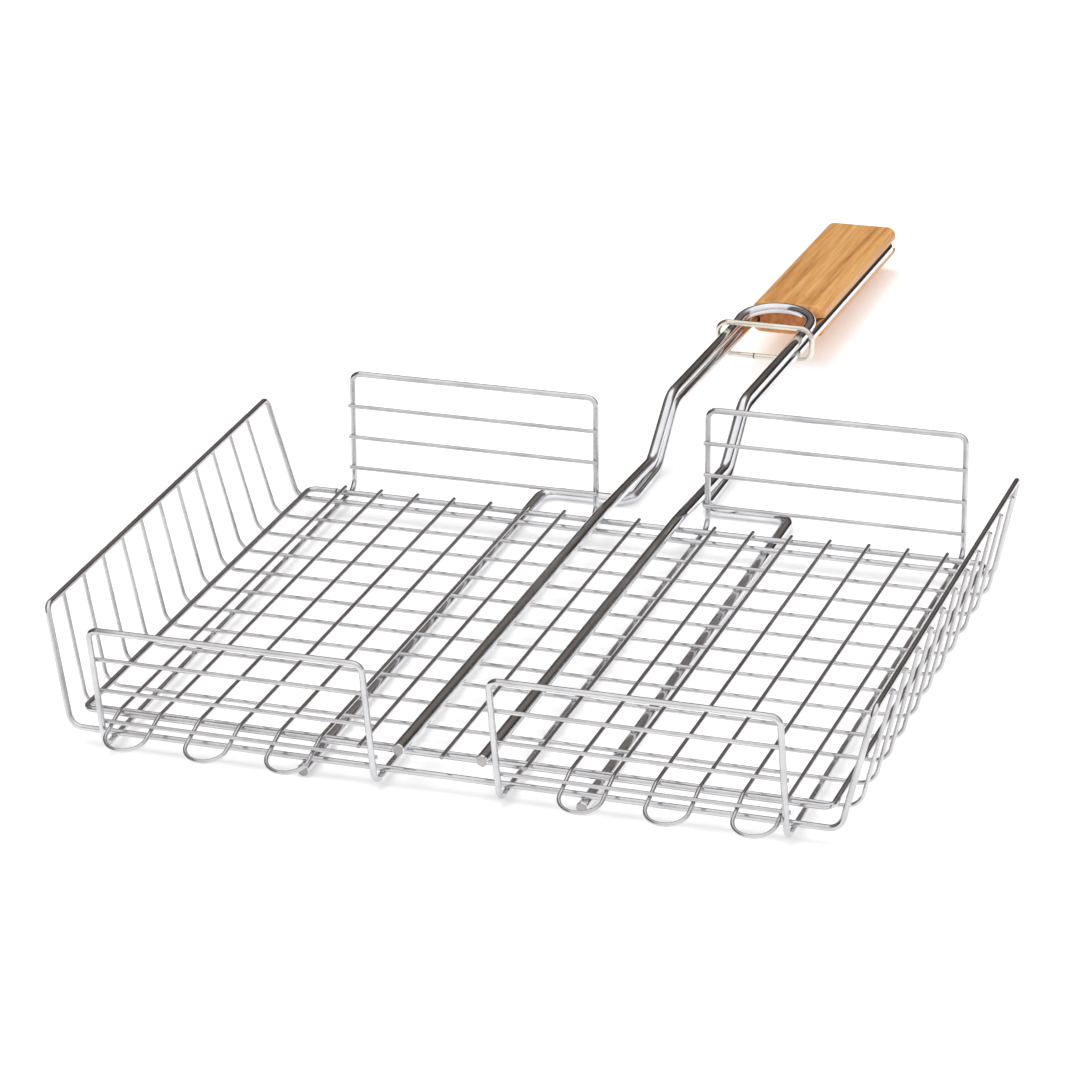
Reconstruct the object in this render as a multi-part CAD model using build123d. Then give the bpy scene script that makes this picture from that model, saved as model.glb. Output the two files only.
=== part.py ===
# Deep grilling basket of round steel wire: an open tray with leaning end walls and four
# ladder panels, a flat lid grid that drops inside it, two wire handles lying one on the
# other, a wooden grip and a closed ring that keeps the two handles together.
#
# Frame, in millimetres: X along the tray's long side, +Y towards the grip, +Z up, resting
# plane at Z = 0. Sub-parts are laid out with Y = 0 at the tray's front rail, then the whole
# basket is moved so that the origin is at the centre of its base.
from build123d import *
from math import atan2, cos, degrees, radians, sin, sqrt, tan
import os

os.makedirs("parts", exist_ok=True)

# ---- wire sizes -------------------------------------------------------------------------
handle_wire_d = 6.0
frame_wire_d = 3.0
mesh_wire_d = 2.0
ring_wire_d = 3.0
air_gap = 0.3                # between pieces that move apart

# ---- tray -------------------------------------------------------------------------------
tray_depth = 272.0           # front rail to rear rail
tray_pitches = 12            # spaces between the two rails
wall_foot_half = 184.5       # end wall, where it would meet the base
wall_top_half = 197.4        # end wall's top rail
wall_top_z = 62.5
wall_front_lean = 11.0       # how far the end wall's front leg leans back
wall_rear_lean = 3.0
wall_foot_bend = 7.0
wall_top_bend = 4.5
mesh_foot_bend = 9.0

# ---- panels at the front and rear -------------------------------------------------------
panel_outer_x = 163.1
panel_inner_x = 29.9
panel_front_foot = -9.2
panel_front_top = -16.7
panel_rear_foot = 297.3
panel_rear_top = 302.5
panel_top_z = 67.0
panel_foot_bend = 6.0
panel_top_bend = 4.5
rung_first_z = 17.0
rung_pitch = 16.65
rung_overhang = 1.4

# ---- lower handle -----------------------------------------------------------------------
tray_bar_x = 67.0            # under the tray
handle_front_y = -4.5
handle_cross_y = 321.7       # where the wires turn in towards the middle
handle_half = 19.5           # in the grip
handle_bend = 9.0
rise_foot = (364.4, 3.0)     # Y and Z of the dog-leg's lower and upper corners
rise_head = (395.3, 28.1)
rise_foot_bend = 20.0
rise_head_bend = 14.0
handle_droop = 2.4           # degrees, downwards to the rear

# ---- grip, in the handle's own frame: along, across, above the wire ----------------------
grip_start = 143.0
grip_length = 155.0
grip_width = 42.0
grip_above = 9.5
grip_below = 8.5
grip_edge = 5.0
grip_front_chamfer = 4.5
grip_rear_edge = 1.5
groove_clear = 0.05
wire_end_inset = 4.0         # rear run of the wire inside the grip's rear end
wire_end_bend = 9.0

# ---- lid --------------------------------------------------------------------------------
lid_pitch = 20.0
lid_half = 179.5
lid_front = (4.75, 15.1)     # Y and Z of the rim's front and rear rails
lid_rear = (277.0, 11.0)
lid_corner = 4.5
lid_rear_overhang = 1.6
tab_tip_y = -23.2            # front end of the hairpin wires
tab_bend_y = 1.8             # where they start to dip, ahead of the front rail
single_tip_y = -2.0
lid_handle_half = 20.0
lid_handle_front_y = -4.0
lid_rise_foot = (358.5, 10.2)
lid_loop_reach = 139.0       # loop's front along the handle
lid_rise_foot_bend = 14.0
lid_rise_head_bend = 20.0
lid_lift_along = 112.0       # from here the loop rises, so that its end holds the ring
lid_loop_lift = 3.2
lid_lift_bend = 60.0
lid_cut_share = 0.04         # where the handle's lengths meet, behind the lid's rear rail
lid_cut_along = 107.5        # and ahead of the loop's rise

# ---- locking ring -----------------------------------------------------------------------
ring_along = 101.5
ring_half = 26.9
ring_above = 12.0
ring_below = 6.3
ring_corner = 6.5

handle_r = handle_wire_d / 2
frame_r = frame_wire_d / 2
mesh_r = mesh_wire_d / 2
rail_z = handle_wire_d + frame_r             # rails lie on the lower handle wires
mesh_z = handle_wire_d + mesh_r
base_run_z = handle_wire_d - frame_r         # panel loops run under the mesh
tray_pitch = tray_depth / tray_pitches
lid_slope = atan2(lid_rear[1] - lid_front[1], lid_rear[0] - lid_front[0])


# ---- wire helpers -----------------------------------------------------------------------
def corner(before, at, after, radius):
    """Start, middle and end of the arc that rounds one corner of a bent wire."""
    a, p, b = Vector(*before), Vector(*at), Vector(*after)
    u, w = (a - p).normalized(), (b - p).normalized()
    half = radians(u.get_angle(w)) / 2
    back = radius / tan(half)
    middle = (u + w).normalized() * (radius / sin(half) - radius)
    return p + u * back, p + middle, p + w * back


def centreline(points, bends, closed=False):
    """Straight runs through the points, with each inner corner rounded by its bend."""
    n = len(points)
    inner = range(n) if closed else range(1, n - 1)
    arcs = {
        i: corner(points[i - 1], points[i], points[(i + 1) % n], bends[k])
        for k, i in enumerate(inner)
    }
    start = (arcs[0][0] + arcs[n - 1][2]) * 0.5 if closed else Vector(*points[0])
    here, edges = start, []
    for i in inner:
        if (arcs[i][0] - here).length > 1e-6:
            edges.append(Line(here, arcs[i][0]))
        edges.append(ThreePointArc(*arcs[i]))
        here = arcs[i][2]
    edges.append(Line(here, start if closed else Vector(*points[-1])))
    return Wire(edges)


def bent_wire(points, bends, diameter, closed=False):
    """A round wire swept along its centreline."""
    path = centreline(points, bends, closed)
    section = Plane(origin=path @ 0, z_dir=path % 0) * Circle(diameter / 2)
    return sweep(section, path=path)


def straight_wire(a, b, diameter):
    return bent_wire([a, b], [], diameter)


def mirrored(shape):
    return mirror(shape, about=Plane.YZ)


def blend(a, b, t):
    return a + (b - a) * t


# ---- tray -------------------------------------------------------------------------------
def wall_top_y(t):
    """Y along the end wall's top rail, for t from 0 at the front to 1 at the rear."""
    return blend(wall_front_lean, tray_depth - wall_rear_lean, t)


def tray_rim():
    """One closed loop: front rail, right end wall, rear rail, left end wall."""
    foot, top = wall_foot_half, wall_top_half
    right = [
        (foot, 0, rail_z),
        (top, wall_top_y(0), wall_top_z),
        (top, wall_top_y(1), wall_top_z),
        (foot, tray_depth, rail_z),
    ]
    left = [(-x, y, z) for x, y, z in reversed(right)]
    bends = [wall_foot_bend, wall_top_bend, wall_top_bend, wall_foot_bend] * 2
    return bent_wire(right + left, bends, frame_wire_d, closed=True)


def tray_cross_wire(place):
    """Thin wire along X, its two ends bent up outside the end walls' top rails."""
    lean = atan2(wall_top_half - wall_foot_half, wall_top_z - rail_z)
    reach = frame_r + mesh_r
    top_x = wall_top_half + reach * cos(lean)
    top_z = wall_top_z - reach * sin(lean)
    foot_x = top_x - (top_z - mesh_z) * tan(lean)
    y, top_y = place * tray_pitch, wall_top_y(place / tray_pitches)
    half = [(foot_x, y, mesh_z), (top_x, top_y, top_z)]
    other = [(-x, y, z) for x, y, z in reversed(half)]
    return bent_wire(other + half, [mesh_foot_bend] * 2, mesh_wire_d)


# ---- panels -----------------------------------------------------------------------------
def panel_loop():
    """Right-hand closed loop: rear frame, two runs under the mesh, front frame."""
    outer, inner = panel_outer_x, panel_inner_x
    outer_half = [
        (outer, panel_rear_top, panel_top_z),
        (outer, panel_rear_foot, base_run_z),
        (outer, panel_front_foot, base_run_z),
        (outer, panel_front_top, panel_top_z),
    ]
    inner_half = [(inner, y, z) for x, y, z in reversed(outer_half)]
    bends = [panel_top_bend, panel_foot_bend, panel_foot_bend, panel_top_bend] * 2
    return bent_wire(outer_half + inner_half, bends, frame_wire_d, closed=True)


def panel_rung(foot_y, top_y, level):
    """Thin bar across one right-hand frame, on the side that faces the food."""
    z = rung_first_z + level * rung_pitch
    rise = panel_top_z - base_run_z
    inward = 1 if top_y < foot_y else -1
    reach = frame_r + mesh_r
    y = blend(foot_y, top_y, (z - base_run_z) / rise)
    y = y + inward * reach * sqrt(1 + ((top_y - foot_y) / rise) ** 2)
    ends = [(x, y, z) for x in (panel_inner_x - rung_overhang, panel_outer_x + rung_overhang)]
    return straight_wire(ends[0], ends[1], mesh_wire_d)


# ---- lower handle and grip --------------------------------------------------------------
def handle_frame():
    """Plane at the dog-leg's head: its X is across, its Y along the handle."""
    tilt = radians(-handle_droop)
    return Plane(
        origin=(0, rise_head[0], rise_head[1]),
        x_dir=(1, 0, 0),
        z_dir=(0, -sin(tilt), cos(tilt)),
    )


def on_handle(across, along, above):
    """A point stated in the handle's own frame."""
    p = handle_frame().from_local_coords(Vector(across, along, above))
    return (p.X, p.Y, p.Z)


def rear_run():
    return grip_start + grip_length - wire_end_inset


def lower_handle_wire():
    """Front end, under the tray, dog-leg, grip, and back the same way on the other side."""
    side = [
        (tray_bar_x, handle_front_y, handle_r),
        (tray_bar_x, handle_cross_y, handle_r),
        (handle_half, handle_cross_y, handle_r),
        (handle_half, rise_foot[0], rise_foot[1]),
        (handle_half, rise_head[0], rise_head[1]),
        on_handle(handle_half, rear_run(), 0),
    ]
    other = [(-x, y, z) for x, y, z in reversed(side)]
    bends = [handle_bend, handle_bend, rise_foot_bend, rise_head_bend, wire_end_bend]
    return bent_wire(side + other, bends + bends[::-1], handle_wire_d)


def grip_groove():
    """Space of the wire inside the grip, open to its sides and to its rear end."""
    r = handle_r + groove_clear
    front, rear = grip_start - 10, rear_run()
    x = handle_half
    track = [
        on_handle(x, front, 0),
        on_handle(x, rear, 0),
        on_handle(-x, rear, 0),
        on_handle(-x, front, 0),
    ]
    groove = bent_wire(track, [wire_end_bend] * 2, 2 * r)
    mouth = extrude(groove_outline(x, front, rear), amount=r, both=True)
    return groove + handle_frame() * mouth


def groove_outline(x, front, rear):
    """Flat region outside the wire's centreline, as wide as the cutter needs."""
    side, back = x + 20, rear + 20
    outer = Pos(0, (front + back) / 2) * Rectangle(2 * side, back - front)
    inner = Pos(0, (front + rear) / 2) * Rectangle(2 * x, rear - front)
    return outer - fillet(inner.vertices().group_by(Axis.Y)[-1], wire_end_bend)


def wooden_grip():
    """Block with rounded long edges, a chamfered front end and a groove for the wire."""
    height = grip_above + grip_below
    middle = Pos(0, grip_start + grip_length / 2, (grip_above - grip_below) / 2)
    block = middle * Box(grip_width, grip_length, height)
    block = fillet(block.edges().filter_by(Axis.Y), grip_edge)
    block = chamfer(block.faces().sort_by(Axis.Y)[0].edges(), grip_front_chamfer)
    block = fillet(block.faces().sort_by(Axis.Y)[-1].edges(), grip_rear_edge)
    return handle_frame() * block - grip_groove()


# ---- lid --------------------------------------------------------------------------------
def on_lid(x, y, above):
    """A point over the lid's plane; the plane holds the rim's centreline."""
    z = lid_front[1] + (y - lid_front[0]) * tan(lid_slope)
    return (x, y, z + above / cos(lid_slope))


def lid_rim():
    rail = [(lid_half, lid_rear[0]), (lid_half, lid_front[0])]
    rail = rail + [(-x, y) for x, y in reversed(rail)]
    points = [on_lid(x, y, 0) for x, y in rail]
    return bent_wire(points, [lid_corner] * 4, frame_wire_d, closed=True)


def tab_bend():
    """Y and Z where a hairpin passes just under the front panels' lowest rung."""
    share = (rung_first_z - base_run_z) / (panel_top_z - base_run_z)
    y = blend(panel_front_foot, panel_front_top, share) + frame_r + mesh_r
    return y, rung_first_z - 2 * mesh_r - air_gap


def tab_z(y):
    """Height of a hairpin's front part, which dips from the lid's front rail."""
    start = on_lid(0, tab_bend_y, frame_r + mesh_r)
    rung_y, low_z = tab_bend()
    return start[2] + (y - start[1]) * (low_z - start[2]) / (rung_y - start[1])


def lid_hairpin(first):
    """Two mesh wires joined by a round turn that pokes out at the front as a tab."""
    above = frame_r + mesh_r
    rear_y = lid_rear[0] + lid_rear_overhang
    legs = [first * lid_pitch, (first + 1) * lid_pitch]
    track = [on_lid(legs[0], rear_y, above), on_lid(legs[0], tab_bend_y, above)]
    track.append((legs[0], tab_tip_y + mesh_r, tab_z(tab_tip_y + mesh_r)))
    track += [(legs[1], y, z) for x, y, z in reversed(track)]
    turn = lid_pitch / 2 - 0.6
    return bent_wire(track, [14, turn, turn, 14], mesh_wire_d)


def lid_single(place):
    above = frame_r + mesh_r
    x = place * lid_pitch
    rear = on_lid(x, lid_rear[0] + lid_rear_overhang, above)
    return straight_wire(on_lid(x, single_tip_y, above), rear, mesh_wire_d)


def lid_handle_wires():
    """Two legs on top of the lid, a dog-leg over the lower one, and a rising round loop.

    It is one bent wire, laid out as five lengths that meet end to end on straight runs.
    """
    x, above = lid_handle_half, frame_r + handle_r
    stack = handle_wire_d + air_gap
    rear, foot = on_lid(x, lid_rear[0], above), (x, lid_rise_foot[0], lid_rise_foot[1])
    after_lid = tuple(blend(p, q, lid_cut_share) for p, q in zip(rear, foot))
    front = [on_lid(x, lid_handle_front_y, above), rear, after_lid]
    rise = [after_lid, foot, on_handle(x, -2.5, stack), on_handle(x, lid_cut_along, stack)]
    side = [
        on_handle(x, lid_cut_along, stack),
        on_handle(x, lid_lift_along, stack),
        on_handle(x, lid_loop_reach, stack + lid_loop_lift),
    ]
    other = [(-px, y, z) for px, y, z in reversed(side)]
    bends = [lid_lift_bend, lid_handle_half - 1]
    wires = {"lid_handle_loop": bent_wire(side + other, bends + bends[::-1], handle_wire_d)}
    front_leg = bent_wire(front, [40], handle_wire_d)
    rise_leg = bent_wire(rise, [lid_rise_foot_bend, lid_rise_head_bend], handle_wire_d)
    for leg, shape in (("front", front_leg), ("rise", rise_leg)):
        wires[f"lid_handle_{leg}_right"] = shape
        wires[f"lid_handle_{leg}_left"] = mirrored(shape)
    return wires


# ---- locking ring -----------------------------------------------------------------------
def locking_ring():
    w = ring_half
    points = [(w, ring_above), (w, -ring_below), (-w, -ring_below), (-w, ring_above)]
    track = [on_handle(x, ring_along, above) for x, above in points]
    return bent_wire(track, [ring_corner] * 4, ring_wire_d, closed=True)


# ---- the whole basket -------------------------------------------------------------------
def all_parts():
    parts = {"tray_rim": tray_rim()}
    for place in range(1, tray_pitches):
        parts[f"tray_cross_wire_{place:02d}"] = tray_cross_wire(place)
    sides = {"right": lambda s: s, "left": mirrored}
    ends = {
        "front": (panel_front_foot, panel_front_top),
        "rear": (panel_rear_foot, panel_rear_top),
    }
    for side, turn in sides.items():
        parts[f"panel_loop_{side}"] = turn(panel_loop())
        for end, (foot_y, top_y) in ends.items():
            for level in range(3):
                rung = turn(panel_rung(foot_y, top_y, level))
                parts[f"rung_{end}_{side}_{level + 1}"] = rung
        for number, first in enumerate((3, 5, 7), start=1):
            parts[f"lid_hairpin_{side}_{number}"] = turn(lid_hairpin(first))
        parts[f"lid_single_{side}"] = turn(lid_single(2))
    parts["lower_handle_wire"] = lower_handle_wire()
    parts["grip"] = wooden_grip()
    parts["lid_rim"] = lid_rim()
    parts["lid_single_centre"] = lid_single(0)
    parts.update(lid_handle_wires())
    parts["locking_ring"] = locking_ring()
    return parts


parts = all_parts()
box = Compound(children=[Part(p.wrapped) for p in parts.values()]).bounding_box()
shift = Pos(-(box.min.X + box.max.X) / 2, -(box.min.Y + box.max.Y) / 2, -box.min.Z)
for name, shape in parts.items():
    export_step(shift * shape, f"parts/{name}.step")
print(len(parts), "parts,", [round(v, 2) for v in (box.size.X, box.size.Y, box.size.Z)],
      "shift", [round(v, 3) for v in shift.position])
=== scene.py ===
"""Looks of the grill basket: smooth plated wires, weld nuggets, a varnished wooden grip,
a white studio floor and light."""
import math
import random

import bpy
import bmesh
from mathutils import Matrix, Quaternion, Vector, noise


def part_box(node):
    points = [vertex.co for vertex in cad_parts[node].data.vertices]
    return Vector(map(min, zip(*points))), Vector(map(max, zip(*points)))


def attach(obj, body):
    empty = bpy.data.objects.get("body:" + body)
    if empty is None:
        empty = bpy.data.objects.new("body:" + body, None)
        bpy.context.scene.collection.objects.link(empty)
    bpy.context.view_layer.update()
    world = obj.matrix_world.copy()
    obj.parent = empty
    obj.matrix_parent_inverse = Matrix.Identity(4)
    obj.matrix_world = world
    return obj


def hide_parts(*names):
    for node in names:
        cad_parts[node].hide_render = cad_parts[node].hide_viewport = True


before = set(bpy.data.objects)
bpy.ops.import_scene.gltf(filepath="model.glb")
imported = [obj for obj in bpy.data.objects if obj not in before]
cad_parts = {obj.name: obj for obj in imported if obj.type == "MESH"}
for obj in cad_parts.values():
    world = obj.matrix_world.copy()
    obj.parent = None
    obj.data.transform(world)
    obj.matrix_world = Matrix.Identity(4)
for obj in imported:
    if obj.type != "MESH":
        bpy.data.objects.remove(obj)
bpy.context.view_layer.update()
MM = 0.001

# ---- sizes, in millimetres, in the tray's frame: Y = 0 at its front rail ------------------
HANDLE_R, FRAME_R, MESH_R, RING_R = 3.0, 1.5, 1.0, 1.5
AIR_GAP = 0.3             # set upwards, so between sloping wires the true gap is less
TRAY_DEPTH, TRAY_PITCHES = 272.0, 12
WALL_FOOT, WALL_TOP, WALL_TOP_Z = 184.5, 197.4, 62.5
WALL_FRONT_LEAN, WALL_REAR_LEAN = 11.0, 3.0
PANEL_OUTER, PANEL_INNER, PANEL_TOP_Z = 163.1, 29.9, 67.0
PANEL_FRONT, PANEL_REAR = (-9.2, -16.7), (297.3, 302.5)
TOP_BEND = 4.5            # top corners of walls and panels, and the lid's corners
FOOT_BEND, PANEL_FOOT_BEND, CROSS_BEND = 7.0, 6.0, 9.0
RUNG_FIRST_Z, RUNG_PITCH, RUNG_OVERHANG = 17.0, 16.65, 1.4
BAR_X, HANDLE_FRONT_Y, HANDLE_CROSS_Y, HANDLE_HALF = 67.0, -4.5, 321.7, 19.5
RISE_FOOT, RISE_HEAD, DROOP = (364.4, 3.0), (395.3, 28.1), math.radians(2.4)
DOG_LEG_BEND, RISE_FOOT_BEND, RISE_HEAD_BEND = 9.0, 20.0, 14.0
GRIP_START, GRIP_LENGTH, GRIP_WIDTH = 143.0, 155.0, 42.0
GRIP_ABOVE, GRIP_BELOW, GRIP_EDGE = 9.5, 8.5, 5.0
GRIP_FRONT_CHAMFER, GRIP_REAR_EDGE, GRIP_LEAST_EDGE = 4.5, 1.5, 0.6
GRIP_SHARP = 30           # degrees: grip edges sharper than this are drawn as edges
GRIP_SHY = 0.01           # how far the grip's rear end stays inside the CAD block
CHAMFER_FACE, CHAMFER_SIDE = (0.35, 0.6), (0.9, 0.75, 0.12)    # rounding of its two edges
BODY_AHEAD, BODY_BEHIND, BODY_STEPS = 6.0, 2.0, 8    # the plain stretch between its ends
GROOVE_R, WIRE_END_INSET, WIRE_END_BEND = 3.05, 4.0, 9.0
MOUTH_WIDER, MOUTH_DEEP, MOUTH_LIP = 1.6, 4.0, 0.5   # the grooves open out at the front face
MOUTH_STEP = 1.0                         # least distance from a mouth to the next section
CUTTER_AHEAD, CUTTER_OUT = 10.0, 9.0     # reach ahead of the grip, and out from the wire's middle
SEAM_HALF, SEAM_PROUD = 0.45, 0.12
LID_PITCH, LID_HALF, LID_OVERHANG = 20.0, 179.5, 1.6
LID_FRONT, LID_REAR = (4.75, 15.1), (277.0, 11.0)
HAIRPIN_FIRST = (3, 5, 7)                # each hairpin's inner leg, in pitches from the middle
LID_SINGLES = (("left", -2), ("centre", 0), ("right", 2))
HAIRPIN_DIP_BEND, HAIRPIN_FLAT = 14.0, 0.6
TAB_TIP_Y, TAB_BEND_Y, SINGLE_TIP_Y = -23.2, 1.8, -2.0
LID_HANDLE_HALF, LID_HANDLE_FRONT_Y = 20.0, -4.0
LID_RISE_FOOT, LOOP_REACH = (358.5, 10.2), 139.0
LIFT_ALONG, LOOP_LIFT, LIFT_BEND = 112.0, 3.2, 60.0
LID_REAR_BEND, LID_FOOT_BEND, LID_HEAD_BEND, LID_HEAD_ALONG = 40.0, 14.0, 20.0, -2.5
LOOP_FLAT = 1.0                          # half of the straight bit at the loop's far end
RING_ALONG, RING_HALF, RING_ABOVE, RING_BELOW = 101.5, 26.9, 12.0, 6.3
RING_BEND, RING_SEAM_X, LID_SEAM_IN = 6.5, -6.0, 15.0

RAIL_Z, MESH_Z = 2 * HANDLE_R + FRAME_R, 2 * HANDLE_R + MESH_R
RUN_Z = 2 * HANDLE_R - FRAME_R
PITCH = TRAY_DEPTH / TRAY_PITCHES
LID_SLOPE = math.atan2(LID_REAR[1] - LID_FRONT[1], LID_REAR[0] - LID_FRONT[0])
ORIGIN = Vector((0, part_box("tray_rim")[0].y / MM + FRAME_R, 0))


def row(p):
    """A point of the tray's frame as a point of the row frame, in metres."""
    return (Vector(p) + ORIGIN) * MM


def between(a, b, t):
    return a + (b - a) * t


def mirrored(points):
    return [(-x, y, z) for x, y, z in reversed(points)]


def on_handle(across, along, above):
    c, s = math.cos(DROOP), math.sin(DROOP)
    return (across, RISE_HEAD[0] + along * c + above * s, RISE_HEAD[1] - along * s + above * c)


def on_lid(x, y, above):
    z = LID_FRONT[1] + (y - LID_FRONT[0]) * math.tan(LID_SLOPE)
    return (x, y, z + above / math.cos(LID_SLOPE))


# ---- materials ----------------------------------------------------------------------------
BUMP_DEPTH = 0.0002       # metres


def new_material(name):
    m = bpy.data.materials.new(name)
    m.use_nodes = True
    nodes, links = m.node_tree.nodes, m.node_tree.links
    return m, nodes, links, nodes["Principled BSDF"]


def ramp(nodes, stops):
    n = nodes.new("ShaderNodeValToRGB")
    e = n.color_ramp.elements
    while len(e) < len(stops):
        e.new(0.5)
    for i, (at, colour) in enumerate(stops):
        e[i].position = at
        e[i].color = (*colour, 1)
    return n


def settings(node, **values):
    """Sets a node's inputs. An underscore in a name stands for a space."""
    for name, value in values.items():
        node.inputs[name.replace("_", " ")].default_value = value


def noise_node(nodes, links, coord, scale=1, detail=3, rough=0.5, stretch=(1, 1, 1)):
    m = nodes.new("ShaderNodeMapping")
    settings(m, Scale=stretch)
    links.new(coord, m.inputs["Vector"])
    n = nodes.new("ShaderNodeTexNoise")
    settings(n, Scale=scale, Detail=detail, Roughness=rough)
    links.new(m.outputs["Vector"], n.inputs["Vector"])
    return n


def add_bump(nodes, links, bsdf, height, strength):
    bump = nodes.new("ShaderNodeBump")
    settings(bump, Strength=strength, Distance=BUMP_DEPTH)
    links.new(height, bump.inputs["Height"])
    links.new(bump.outputs["Normal"], bsdf.inputs["Normal"])


def plated(name, bright, dull, rough, ripple):
    """Plated steel: slight variation of colour and gloss, and a fine ripple."""
    m, nodes, links, bsdf = new_material(name)
    coord = nodes.new("ShaderNodeTexCoord").outputs["Object"]
    stain = noise_node(nodes, links, coord, scale=55, detail=4)
    tone = ramp(nodes, [(0.3, dull), (0.62, bright)])
    links.new(stain.outputs["Fac"], tone.inputs["Fac"])
    links.new(tone.outputs["Color"], bsdf.inputs["Base Color"])
    fine = noise_node(nodes, links, coord, scale=420)
    gloss = nodes.new("ShaderNodeMapRange")
    settings(gloss, From_Min=0.3, From_Max=0.7, To_Min=rough[0], To_Max=rough[1])
    links.new(fine.outputs["Fac"], gloss.inputs["Value"])
    links.new(gloss.outputs["Result"], bsdf.inputs["Roughness"])
    waves = noise_node(nodes, links, coord, scale=130, detail=2)
    add_bump(nodes, links, bsdf, waves.outputs["Fac"], strength=ripple)
    settings(bsdf, Metallic=1)
    return m


WOOD_TONES = [(0.34, (0.44, 0.17, 0.045)), (0.47, (0.66, 0.31, 0.095)),
              (0.58, (0.78, 0.42, 0.145)), (0.7, (0.85, 0.52, 0.22))]
ENDS_PAINTED_SHADE = (0.74, 0.5, 0.36, 1)         # painted shade: darkens the grip's ends


def wood():
    """Honey-coloured wood with lengthwise streaks, fine pores, a thin varnish, and painted shade
    on the grip's ends.
    """
    m, nodes, links, bsdf = new_material("grip_wood")
    coord = nodes.new("ShaderNodeTexCoord").outputs["Object"]
    broad = noise_node(nodes, links, coord, rough=0.55, stretch=(130, 3, 130))
    rings = noise_node(nodes, links, coord, detail=4, rough=0.6, stretch=(340, 6, 340))
    pores = noise_node(nodes, links, coord, detail=2, rough=0.7, stretch=(1700, 42, 1700))
    mixed = nodes.new("ShaderNodeMix")
    settings(mixed, Factor=0.62)
    links.new(broad.outputs["Fac"], mixed.inputs["A"])
    links.new(rings.outputs["Fac"], mixed.inputs["B"])
    tone = ramp(nodes, WOOD_TONES)
    links.new(mixed.outputs["Result"], tone.inputs["Fac"])
    flecks = ramp(nodes, [(0.32, (0.5, 0.5, 0.5)), (0.42, (1, 1, 1))])
    links.new(pores.outputs["Fac"], flecks.inputs["Fac"])
    dark = nodes.new("ShaderNodeMix")
    dark.data_type = "RGBA"
    dark.blend_type = "MULTIPLY"
    settings(dark, Factor=0.4)
    links.new(tone.outputs["Color"], dark.inputs["A"])
    links.new(flecks.outputs["Color"], dark.inputs["B"])
    # painted shade: faces that point along Y, the grip's ends, are darkened
    normal = nodes.new("ShaderNodeTexCoord").outputs["Normal"]
    split = nodes.new("ShaderNodeSeparateXYZ")
    links.new(normal, split.inputs["Vector"])
    end = nodes.new("ShaderNodeMapRange")
    settings(end, From_Min=0.45, From_Max=0.85)
    absolute = nodes.new("ShaderNodeMath")
    absolute.operation = "ABSOLUTE"
    links.new(split.outputs["Y"], absolute.inputs[0])
    links.new(absolute.outputs["Value"], end.inputs["Value"])
    ends_shade = nodes.new("ShaderNodeMix")
    ends_shade.data_type = "RGBA"
    ends_shade.blend_type = "MULTIPLY"
    links.new(end.outputs["Result"], ends_shade.inputs["Factor"])
    links.new(dark.outputs["Result"], ends_shade.inputs["A"])
    settings(ends_shade, B=ENDS_PAINTED_SHADE)
    links.new(ends_shade.outputs["Result"], bsdf.inputs["Base Color"])
    settings(bsdf, Roughness=0.42, Specular_IOR_Level=0.35, Coat_Weight=0.12, Coat_Roughness=0.22)
    add_bump(nodes, links, bsdf, pores.outputs["Fac"], strength=0.35)
    return m


MATERIALS = {
    "frame_wire": plated("frame_wire", bright=(0.66, 0.66, 0.67), dull=(0.52, 0.52, 0.535),
                         rough=(0.10, 0.20), ripple=0.25),
    "mesh_wire": plated("mesh_wire", bright=(0.64, 0.635, 0.64), dull=(0.50, 0.495, 0.505),
                        rough=(0.13, 0.26), ripple=0.35),
    "handle_wire": plated("handle_wire", bright=(0.76, 0.765, 0.78), dull=(0.64, 0.64, 0.66),
                          rough=(0.06, 0.13), ripple=0.15),
    "ring_wire": plated("ring_wire", bright=(0.80, 0.76, 0.66), dull=(0.66, 0.62, 0.52),
                        rough=(0.14, 0.26), ripple=0.3),
    "grip_wood": wood(),
}
WELD = plated("weld_nuggets", bright=(0.72, 0.71, 0.70), dull=(0.56, 0.55, 0.54),
              rough=(0.22, 0.4), ripple=0.4)
CUT_STEEL = plated("cut_steel", bright=(0.48, 0.46, 0.45), dull=(0.30, 0.29, 0.28),
                   rough=(0.35, 0.55), ripple=0.4)
SEAM = plated("weld_seam", bright=(0.16, 0.14, 0.13), dull=(0.08, 0.07, 0.065),
              rough=(0.4, 0.6), ripple=0.4)


# ---- wires --------------------------------------------------------------------------------
STEP_LONG = 11.0          # longest piece of a straight run
ARC_STEP = math.radians(6)
THICK_SIDES, THIN_SIDES = 28, 18
CAP_RADIUS, CAP_DOME = 0.86, 0.14        # a cut end's face and its height, in wire radii


def rounded(points, bends, closed):
    """Points along straight runs joined by arcs."""
    pts = [Vector(p) for p in points]
    n = len(pts)
    track = []
    inner = range(n) if closed else range(1, n - 1)
    if not closed:
        track.append(pts[0])
    for k, i in enumerate(inner):
        p, a, b = pts[i], pts[i - 1], pts[(i + 1) % n]
        u, w = (a - p).normalized(), (b - p).normalized()
        half = u.angle(w) / 2
        back = bends[k] / math.tan(half)
        start, end = p + u * back, p + w * back
        centre = p + (u + w).normalized() * (bends[k] / math.sin(half))
        turn = (start - centre).angle(end - centre)
        count = max(3, math.ceil(turn / ARC_STEP))
        axis = (start - centre).cross(end - centre).normalized()
        track += [centre + Quaternion(axis, turn * j / count) @ (start - centre)
                  for j in range(count + 1)]
    if not closed:
        track.append(pts[-1])
    out = []
    pairs = list(zip(track, track[1:] + ([track[0]] if closed else [])))
    for a, b in pairs:
        parts = max(1, math.ceil((b - a).length / STEP_LONG))
        out += [a.lerp(b, j / parts) for j in range(parts)]
    if not closed:
        out.append(track[-1])
    return [p for i, p in enumerate(out) if i == 0 or (p - out[i - 1]).length > 1e-4]


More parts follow.
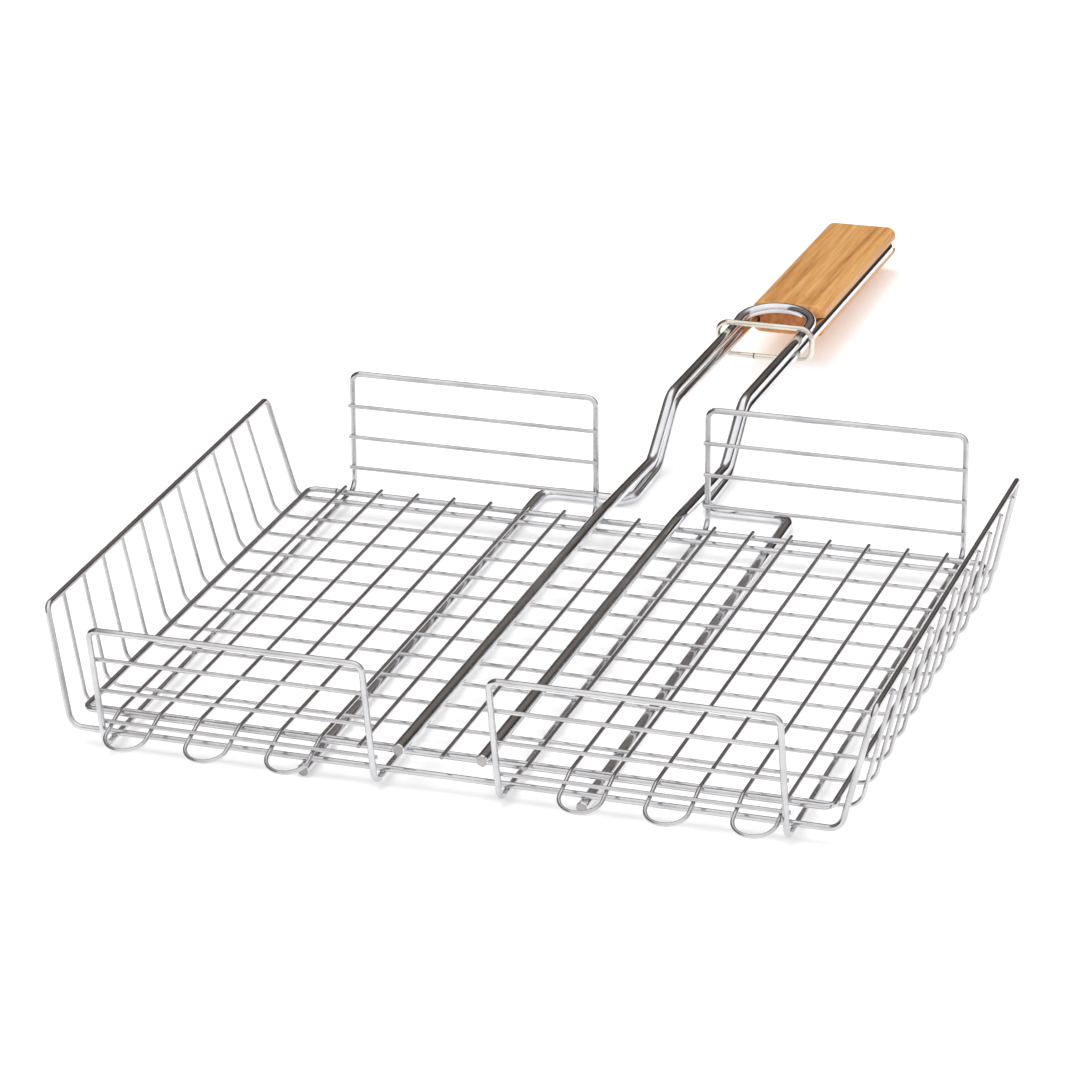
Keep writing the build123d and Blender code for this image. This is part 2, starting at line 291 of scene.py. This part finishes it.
def tube_into(bm, path, radius, closed, sides):
    """A round tube along the path, with slightly domed cut ends."""
    n = len(path)
    tangents = []
    for i in range(n):
        a = path[i - 1] if (i or closed) else path[i]
        b = path[(i + 1) % n] if (i < n - 1 or closed) else path[i]
        tangents.append((b - a).normalized())
    normal = tangents[0].orthogonal().normalized()
    normals = [normal]
    for i in range(1, n):
        turn = tangents[i - 1].rotation_difference(tangents[i])
        normal = turn @ normal
        normal = (normal - tangents[i] * normal.dot(tangents[i])).normalized()
        normals.append(normal)
    twist = 0
    if closed:
        last = tangents[-1].rotation_difference(tangents[0]) @ normals[-1]
        twist = math.atan2(normals[0].cross(last).dot(tangents[0]), normals[0].dot(last))
    rings = []

    def ring(at, t, u, r, extra=0.0):
        v = t.cross(u)
        return [bm.verts.new((at + (u * math.cos(a) + v * math.sin(a)) * r + ORIGIN) * MM)
                for a in (2 * math.pi * k / sides - extra for k in range(sides))]

    for i in range(n):
        rings.append(ring(path[i], tangents[i], normals[i], radius, twist * i / n))
    if not closed:
        dome = radius * CAP_DOME
        rings[0:0] = [ring(path[0], tangents[0], normals[0], radius * CAP_RADIUS)]
        for v in rings[1]:
            v.co += tangents[0] * dome * MM
        rings.append(ring(path[-1], tangents[-1], normals[-1], radius * CAP_RADIUS))
        for v in rings[-2]:
            v.co -= tangents[-1] * dome * MM
    for a, b in zip(rings, rings[1:] + ([rings[0]] if closed else [])):
        for k in range(sides):
            j = (k + 1) % sides
            bm.faces.new((a[k], a[j], b[j], b[k]))
    if not closed:
        for cap in (list(reversed(rings[0])), rings[-1]):
            bm.faces.new(cap).material_index = 1


def new_object(name, bm):
    mesh = bpy.data.meshes.new(name)
    bm.to_mesh(mesh)
    bm.free()
    o = bpy.data.objects.new(name, mesh)
    bpy.context.scene.collection.objects.link(o)
    return o


def add_piece(name, bm, body, material, nodes=(), sharp=40):
    bmesh.ops.recalc_face_normals(bm, faces=bm.faces)
    o = new_object(name, bm)
    o.data.shade_smooth()
    o.data.set_sharp_from_angle(angle=math.radians(sharp))
    o.data.materials.append(material)
    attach(o, body)
    if nodes:
        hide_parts(*nodes)
    return o


def wire(node, points, bends, radius, body, slot, closed=False, stands_for=None):
    bm = bmesh.new()
    sides = THICK_SIDES if radius > FRAME_R else THIN_SIDES
    tube_into(bm, rounded(points, bends, closed), radius, closed, sides)
    o = add_piece("wire_" + node, bm, body, MATERIALS[slot], stands_for or [node])
    o.data.materials.append(CUT_STEEL)
    return o


def butt_joint(name, at, toward, radius, body):
    """The dark seam where the two ends of a wire loop were welded together."""
    a, b = Vector(at), Vector(toward)
    half = (b - a).normalized() * SEAM_HALF
    bm = bmesh.new()
    tube_into(bm, [a - half, a + half], radius + SEAM_PROUD, False, THIN_SIDES)
    add_piece(name, bm, body, SEAM)


# ---- tray ---------------------------------------------------------------------------------
def wall_y(t):
    return between(WALL_FRONT_LEAN, TRAY_DEPTH - WALL_REAR_LEAN, t)


def tray_wires():
    side = [(WALL_FOOT, 0, RAIL_Z), (WALL_TOP, wall_y(0), WALL_TOP_Z),
            (WALL_TOP, wall_y(1), WALL_TOP_Z), (WALL_FOOT, TRAY_DEPTH, RAIL_Z)]
    wire("tray_rim", side + mirrored(side), [FOOT_BEND, TOP_BEND, TOP_BEND, FOOT_BEND] * 2,
         FRAME_R, "tray", "frame_wire", True)
    lean = math.atan2(WALL_TOP - WALL_FOOT, WALL_TOP_Z - RAIL_Z)
    reach = FRAME_R + MESH_R
    top_x, top_z = WALL_TOP + reach * math.cos(lean), WALL_TOP_Z - reach * math.sin(lean)
    foot_x = top_x - (top_z - MESH_Z) * math.tan(lean)
    for place in range(1, TRAY_PITCHES):
        half = [(foot_x, place * PITCH, MESH_Z), (top_x, wall_y(place / TRAY_PITCHES), top_z)]
        wire(f"tray_cross_wire_{place:02d}", mirrored(half) + half, [CROSS_BEND] * 2, MESH_R,
             "tray", "mesh_wire")


def panel_points(sign):
    outer = [(PANEL_OUTER, PANEL_REAR[1], PANEL_TOP_Z), (PANEL_OUTER, PANEL_REAR[0], RUN_Z),
             (PANEL_OUTER, PANEL_FRONT[0], RUN_Z), (PANEL_OUTER, PANEL_FRONT[1], PANEL_TOP_Z)]
    inner = [(PANEL_INNER, y, z) for x, y, z in reversed(outer)]
    return [(sign * x, y, z) for x, y, z in outer + inner]


def rung_y(foot, top, z):
    """Y at height z of a panel frame's wire, and of a rung welded inside it."""
    rise = PANEL_TOP_Z - RUN_Z
    inward = 1 if top < foot else -1
    on_frame = between(foot, top, (z - RUN_Z) / rise)
    slant = math.sqrt(1 + ((top - foot) / rise) ** 2)
    return on_frame, on_frame + inward * (FRAME_R + MESH_R) * slant


def panels():
    for side, sign in (("right", 1), ("left", -1)):
        bends = [TOP_BEND, PANEL_FOOT_BEND, PANEL_FOOT_BEND, TOP_BEND] * 2
        wire(f"panel_loop_{side}", panel_points(sign), bends, FRAME_R, "tray", "frame_wire", True)
        for end, (foot, top) in (("front", PANEL_FRONT), ("rear", PANEL_REAR)):
            for level in range(3):
                z = RUNG_FIRST_Z + level * RUNG_PITCH
                y = rung_y(foot, top, z)[1]
                ends = [(sign * (PANEL_INNER - RUNG_OVERHANG), y, z),
                        (sign * (PANEL_OUTER + RUNG_OVERHANG), y, z)]
                wire(f"rung_{end}_{side}_{level + 1}", ends, [], MESH_R, "tray", "mesh_wire")


def handles():
    rear = GRIP_START + GRIP_LENGTH - WIRE_END_INSET
    side = [(BAR_X, HANDLE_FRONT_Y, HANDLE_R), (BAR_X, HANDLE_CROSS_Y, HANDLE_R),
            (HANDLE_HALF, HANDLE_CROSS_Y, HANDLE_R), (HANDLE_HALF, *RISE_FOOT),
            (HANDLE_HALF, *RISE_HEAD), on_handle(HANDLE_HALF, rear, 0)]
    bends = [DOG_LEG_BEND, DOG_LEG_BEND, RISE_FOOT_BEND, RISE_HEAD_BEND, WIRE_END_BEND]
    wire("lower_handle_wire", side + mirrored(side), bends + bends[::-1], HANDLE_R, "tray",
         "handle_wire")
    above, stack = FRAME_R + HANDLE_R, 2 * HANDLE_R + AIR_GAP
    x = LID_HANDLE_HALF
    side = [on_lid(x, LID_HANDLE_FRONT_Y, above), on_lid(x, LID_REAR[0], above),
            (x, *LID_RISE_FOOT), on_handle(x, LID_HEAD_ALONG, stack),
            on_handle(x, LIFT_ALONG, stack), on_handle(x, LOOP_REACH, stack + LOOP_LIFT)]
    bends = [LID_REAR_BEND, LID_FOOT_BEND, LID_HEAD_BEND, LIFT_BEND, x - LOOP_FLAT]
    lengths = ["lid_handle_loop"] + [f"lid_handle_{leg}_{hand}" for leg in ("front", "rise")
                                     for hand in ("left", "right")]
    wire("lid_handle", side + mirrored(side), bends + bends[::-1], HANDLE_R, "lid",
         "handle_wire", stands_for=lengths)


# ---- lid ----------------------------------------------------------------------------------
def lid():
    rail = [(LID_HALF, LID_REAR[0]), (LID_HALF, LID_FRONT[0])]
    rail = rail + [(-x, y) for x, y in reversed(rail)]
    wire("lid_rim", [on_lid(x, y, 0) for x, y in rail], [TOP_BEND] * 4, FRAME_R, "lid",
         "frame_wire", True)
    seam, beside = (on_lid(x, LID_REAR[0], 0) for x in (LID_SEAM_IN - LID_HALF, 0))
    butt_joint("lid_seam", seam, beside, FRAME_R, "lid")
    above = FRAME_R + MESH_R
    rear = LID_REAR[0] + LID_OVERHANG
    start = on_lid(0, TAB_BEND_Y, above)
    low_y, low_z = rung_y(*PANEL_FRONT, RUNG_FIRST_Z)[1], RUNG_FIRST_Z - 2 * MESH_R - AIR_GAP
    tip_y = TAB_TIP_Y + MESH_R
    tip_z = start[2] + (tip_y - start[1]) * (low_z - start[2]) / (low_y - start[1])
    for side, sign in (("right", 1), ("left", -1)):
        for number, first in enumerate(HAIRPIN_FIRST, start=1):
            legs = [sign * first * LID_PITCH, sign * (first + 1) * LID_PITCH]
            track = [on_lid(legs[0], rear, above), on_lid(legs[0], TAB_BEND_Y, above),
                     (legs[0], tip_y, tip_z)]
            track += [(legs[1], y, z) for x, y, z in reversed(track)]
            turn = LID_PITCH / 2 - HAIRPIN_FLAT
            wire(f"lid_hairpin_{side}_{number}", track,
                 [HAIRPIN_DIP_BEND, turn, turn, HAIRPIN_DIP_BEND], MESH_R, "lid", "mesh_wire")
    for name, place in LID_SINGLES:
        x = place * LID_PITCH
        wire(f"lid_single_{name}", [on_lid(x, SINGLE_TIP_Y, above), on_lid(x, rear, above)], [],
             MESH_R, "lid", "mesh_wire")


def ring():
    w = RING_HALF
    points = [on_handle(x, RING_ALONG, a) for x, a in
              ((w, RING_ABOVE), (w, -RING_BELOW), (-w, -RING_BELOW), (-w, RING_ABOVE))]
    wire("locking_ring", points, [RING_BEND] * 4, RING_R, "ring", "ring_wire", True)
    seam, beside = (on_handle(x, RING_ALONG, -RING_BELOW) for x in (RING_SEAM_X, 0))
    butt_joint("ring_seam", seam, beside, RING_R, "ring")


# ---- weld nuggets -------------------------------------------------------------------------
WELD_SCALE = 0.72                        # of the radii below, to match the photograph
ON_MESH, ON_WALL, ON_RAIL, ON_RUNG, ON_LID, ON_HANDLE = 1.25, 1.2, 1.4, 1.15, 1.15, 1.6
WALL_WELD_DROP = 0.4
LENGTH_SPAN, HEIGHT_SPAN, NARROWER = (0.85, 1.1), (0.45, 0.6), 0.8
LUMP_DEPTH, LUMP_SCALE, NUGGET_SHARP = 0.16, 1.7, 80


def nuggets(name, spots, body):
    """Small squashed lumps where two wires were pressed and welded together."""
    rng = random.Random(len(spots))
    bm = bmesh.new()
    for at, along, size in spots:
        made = bmesh.ops.create_icosphere(bm, subdivisions=2, radius=1)
        long, tall = (size * WELD_SCALE * rng.uniform(*span)
                      for span in (LENGTH_SPAN, HEIGHT_SPAN))
        q = Vector((1, 0, 0)).rotation_difference(Vector(along))
        for v in made["verts"]:
            lump = 1 + LUMP_DEPTH * noise.noise(v.co * LUMP_SCALE + Vector(at))
            p = Vector((v.co.x * long, v.co.y * long * NARROWER, v.co.z * tall)) * lump
            v.co = (Vector(at) + q @ p + ORIGIN) * MM
    add_piece(name, bm, body, WELD, sharp=NUGGET_SHARP)


def weld_spots():
    """Place, direction and radius of each nugget on the tray and on the lid."""
    tray, lid_spots = [], []
    for place in range(1, TRAY_PITCHES):
        y = place * PITCH
        for x in (PANEL_INNER, PANEL_OUTER, BAR_X):
            tray += [((s * x, y, 2 * HANDLE_R), (1, 0, 0), ON_MESH) for s in (1, -1)]
        top_y = wall_y(place / TRAY_PITCHES)
        tray += [((s * (WALL_TOP + FRAME_R), top_y, WALL_TOP_Z - WALL_WELD_DROP), (0, 1, 0),
                  ON_WALL) for s in (1, -1)]
    for y in (0, TRAY_DEPTH):
        for x in (PANEL_INNER, PANEL_OUTER, BAR_X):
            tray += [((s * x, y, 2 * HANDLE_R), (1, 0, 0), ON_RAIL) for s in (1, -1)]
    for foot, top in (PANEL_FRONT, PANEL_REAR):
        for level in range(3):
            z = RUNG_FIRST_Z + level * RUNG_PITCH
            a, b = rung_y(foot, top, z)
            y = between(a, b, FRAME_R / (FRAME_R + MESH_R))
            tray += [((s * x, y, z), (0, 0, 1), ON_RUNG) for s in (1, -1)
                     for x in (PANEL_INNER, PANEL_OUTER)]
    legs = [s * (first + leg) for s in (1, -1) for first in HAIRPIN_FIRST for leg in (0, 1)]
    for place in sorted(legs + [place for name, place in LID_SINGLES]):
        for y in (LID_FRONT[0], LID_REAR[0]):
            lid_spots.append((on_lid(place * LID_PITCH, y, FRAME_R), (1, 0, 0), ON_LID))
    for s in (1, -1):
        for y in (LID_FRONT[0], LID_REAR[0]):
            lid_spots.append((on_lid(s * LID_HANDLE_HALF, y, FRAME_R), (1, 0, 0), ON_HANDLE))
    return tray, lid_spots


# ---- grip ---------------------------------------------------------------------------------
def loft(bm, rings):
    """Walls between rings of vertices, with a cap at each end."""
    n = len(rings[0])
    for a, b in zip(rings, rings[1:]):
        for k in range(n):
            bm.faces.new((a[k], a[(k + 1) % n], b[(k + 1) % n], b[k]))
    bm.faces.new(list(reversed(rings[0])))
    bm.faces.new(rings[-1])


def grip_block():
    """Block with rounded long edges, a bevelled front end and a soft rear end."""
    bm = bmesh.new()
    w, lo, hi, e = GRIP_WIDTH / 2, -GRIP_BELOW, GRIP_ABOVE, GRIP_EDGE

    def section(inset):
        r = max(e - inset, GRIP_LEAST_EDGE)
        out = []
        right, left = w - inset - r, -w + inset + r
        top, bottom = hi - inset - r, lo + inset + r
        corners = ((right, top, 0), (left, top, 90), (left, bottom, 180), (right, bottom, 270))
        for cx, cz, a0 in corners:
            out += [(cx + r * math.cos(math.radians(a0 + 10 * k)),
                     cz + r * math.sin(math.radians(a0 + 10 * k))) for k in range(10)]
        return out

    far = GRIP_START + GRIP_LENGTH - GRIP_SHY
    chamfer = GRIP_FRONT_CHAMFER
    (face_along, face_in), (side_along, side_in, edge_in) = CHAMFER_FACE, CHAMFER_SIDE
    stations = [(GRIP_START, chamfer), (GRIP_START + face_along, chamfer - face_in),
                (GRIP_START + chamfer - side_along, side_in), (GRIP_START + chamfer, edge_in),
                (GRIP_START + chamfer + side_along, 0)]
    stations += [(between(GRIP_START + BODY_AHEAD, far - BODY_BEHIND, k / BODY_STEPS), 0)
                 for k in range(BODY_STEPS + 1)]
    stations += [(far - GRIP_REAR_EDGE + GRIP_REAR_EDGE * math.sin(math.radians(a)),
                  GRIP_REAR_EDGE * (1 - math.cos(math.radians(a)))) for a in (0, 22, 45, 67, 90)]
    loft(bm, [[bm.verts.new(row(on_handle(x, along, z))) for x, z in section(inset)]
              for along, inset in stations])
    return bm


def groove_cutter():
    """The space of the wire, open to the grip's sides and rear end."""
    bm = bmesh.new()
    x, front = HANDLE_HALF, GRIP_START - CUTTER_AHEAD
    rear = GRIP_START + GRIP_LENGTH - WIRE_END_INSET
    line = [(x, front, 0), (x, rear, 0), (-x, rear, 0), (-x, front, 0)]
    flat = [Vector((p.x, p.y, 0)) for p in rounded(line, [WIRE_END_BEND] * 2, False)]
    mouth = [Vector((x, y, 0)) for y in (front, GRIP_START - MOUTH_LIP, GRIP_START + MOUTH_DEEP)]
    flat = mouth + [p for p in flat if p.y > GRIP_START + MOUTH_DEEP + MOUTH_STEP]
    flat += [Vector((-p.x, p.y, 0)) for p in reversed(mouth)]
    rings = []
    for i, p in enumerate(flat):
        a, b = flat[max(i - 1, 0)], flat[min(i + 1, len(flat) - 1)]
        t = (b - a).normalized()
        out = Vector((t.y, -t.x, 0))
        r = GROOVE_R + (MOUTH_WIDER if p.y < GRIP_START else 0)
        half = [(-r * math.sin(math.radians(k)), r * math.cos(math.radians(k)))
                for k in range(0, 181, 15)]
        profile = half + [(CUTTER_OUT, -r), (CUTTER_OUT, r)]
        rings.append([bm.verts.new(row(on_handle(*(p + out * s).xy, h))) for s, h in profile])
    loft(bm, rings)
    bmesh.ops.recalc_face_normals(bm, faces=bm.faces)
    return new_object("cutter", bm)


def grip():
    o = add_piece("grip_wood", grip_block(), "tray", MATERIALS["grip_wood"],
                  ["grip"], GRIP_SHARP)
    cutter = groove_cutter()
    cut = o.modifiers.new("groove", "BOOLEAN")
    cut.operation, cut.object, cut.solver = "DIFFERENCE", cutter, "EXACT"
    dg = bpy.context.evaluated_depsgraph_get()
    carved = bpy.data.meshes.new_from_object(o.evaluated_get(dg))
    o.modifiers.clear()
    o.data = carved
    carved.shade_smooth()
    carved.set_sharp_from_angle(angle=math.radians(GRIP_SHARP))
    bpy.data.objects.remove(cutter)


# ---- studio -------------------------------------------------------------------------------
FLOOR_SIZE, FLOOR_Z = 14, -0.0002        # metres
FLOOR_GLOW = 0.27                        # a lit floor, so that shadows on it stay faint
NEAR_LOW, NEAR_HIGH = (0.88, 0.85, 0.845), (1.2, 1.2, 1.22)
NEAR_Z, DIM_Z = (0.35, 0.85), (0.15, 0.55)       # of the direction seen, low to high
FAR_Y, FAR_Z = (0.22, 0.45), (0.85, 0.62)        # where the far side's dark begins and is full
LEFT_X, LEFT_Z = (-0.37, -0.52), (0.97, 0.88)    # and the left side's
FAR_LOW, FAR_HIGH = (0.035, 0.028, 0.024), (0.22, 0.195, 0.18)
WHITE = (1.0, 1.0, 1.0)
SUN_STRENGTH, SUN_FROM, SUN_SPREAD = 1.2, (-0.45, 0.15, 1.0), 55
AZIMUTH, ELEVATION, ROLL = 20.557, 24.224, -2.208
AIM, DISTANCE = (-50.751, 269.867, 0), 2.1275    # millimetres in the tray's frame, metres
VIEW_TRIM = 0.99995                      # the looks were matched to the photograph with it
LENS, SENSOR_WIDTH = 139.5, 36


def floor():
    bm = bmesh.new()
    bmesh.ops.create_grid(bm, x_segments=1, y_segments=1, size=FLOOR_SIZE)
    o = new_object("floor", bm)
    o.location.z = FLOOR_Z
    m, nodes, links, bsdf = new_material("floor")
    coord = nodes.new("ShaderNodeTexCoord").outputs["Object"]
    tone = ramp(nodes, [(0.3, (0.9, 0.9, 0.9)), (0.7, (0.93, 0.93, 0.93))])
    patches = noise_node(nodes, links, coord, scale=6, detail=2)
    links.new(patches.outputs["Fac"], tone.inputs["Fac"])
    links.new(tone.outputs["Color"], bsdf.inputs["Base Color"])
    settings(bsdf, Roughness=0.9, Specular_IOR_Level=0.1, Emission_Color=(*WHITE, 1),
             Emission_Strength=FLOOR_GLOW)
    o.data.materials.append(m)


def surroundings():
    """Studio seen in the wires: bright ceiling and near side, dark far and left sides."""
    world = bpy.data.worlds.new("studio")
    bpy.context.scene.world = world
    world.use_nodes = True
    nodes, links = world.node_tree.nodes, world.node_tree.links
    back = nodes["Background"]
    split = nodes.new("ShaderNodeSeparateXYZ")
    links.new(nodes.new("ShaderNodeTexCoord").outputs["Generated"], split.inputs["Vector"])

    def step(axis, start, end):
        n = nodes.new("ShaderNodeMapRange")
        n.interpolation_type = "SMOOTHSTEP"
        settings(n, From_Min=start, From_Max=end)
        links.new(split.outputs[axis], n.inputs["Value"])
        return n.outputs["Result"]

    def maths(kind, one, two):
        n = nodes.new("ShaderNodeMath")
        n.operation = kind
        links.new(one, n.inputs[0])
        links.new(two, n.inputs[1])
        return n.outputs["Value"]

    def colours(share, one, two):
        n = nodes.new("ShaderNodeMix")
        n.data_type = "RGBA"
        links.new(share, n.inputs["Factor"])
        for socket, value in (("A", one), ("B", two)):
            if isinstance(value, tuple):
                n.inputs[socket].default_value = (*value, 1)
            else:
                links.new(value, n.inputs[socket])
        return n.outputs["Result"]

    light = colours(step("Z", *NEAR_Z), NEAR_LOW, NEAR_HIGH)
    dim = colours(step("Z", *DIM_Z), FAR_LOW, FAR_HIGH)
    far = maths("MULTIPLY", step("Y", *FAR_Y), step("Z", *FAR_Z))
    left = maths("MULTIPLY", step("X", *LEFT_X), step("Z", *LEFT_Z))
    aside = maths("MAXIMUM", far, left)
    seen = nodes.new("ShaderNodeLightPath").outputs["Is Camera Ray"]
    studio = colours(aside, light, dim)
    links.new(colours(seen, studio, WHITE), back.inputs["Color"])


def sun(strength, direction, spread):
    data = bpy.data.lights.new("sun", "SUN")
    data.energy, data.angle = strength, math.radians(spread)
    o = bpy.data.objects.new("sun", data)
    bpy.context.scene.collection.objects.link(o)
    o.rotation_euler = (-Vector(direction)).to_track_quat("-Z", "Y").to_euler()
    o.visible_glossy = False


def camera():
    az, el, roll = (math.radians(angle) for angle in (AZIMUTH, ELEVATION, ROLL))
    view = Vector((math.sin(az) * math.cos(el) * VIEW_TRIM, -math.cos(az) * math.cos(el),
                   math.sin(el)))
    aim = row(AIM)
    right = Vector((math.cos(az), math.sin(az), 0))
    up = view.cross(right)
    r = right * math.cos(roll) + up * math.sin(roll)
    u = -right * math.sin(roll) + up * math.cos(roll)
    data = bpy.data.cameras.new("camera")
    data.lens, data.sensor_width = LENS, SENSOR_WIDTH
    data.clip_end = 50
    o = bpy.data.objects.new("camera", data)
    bpy.context.scene.collection.objects.link(o)
    turn = Matrix((r, u, view)).transposed().to_4x4()
    o.matrix_world = Matrix.Translation(aim + view * DISTANCE) @ turn
    bpy.context.scene.camera = o


tray_wires()
panels()
handles()
lid()
ring()
tray_spots, lid_spots = weld_spots()
nuggets("tray_welds", tray_spots, "tray")
nuggets("lid_welds", lid_spots, "lid")
grip()
floor()
surroundings()
sun(SUN_STRENGTH, SUN_FROM, SUN_SPREAD)
camera()
bpy.context.scene.view_settings.view_transform = "Standard"
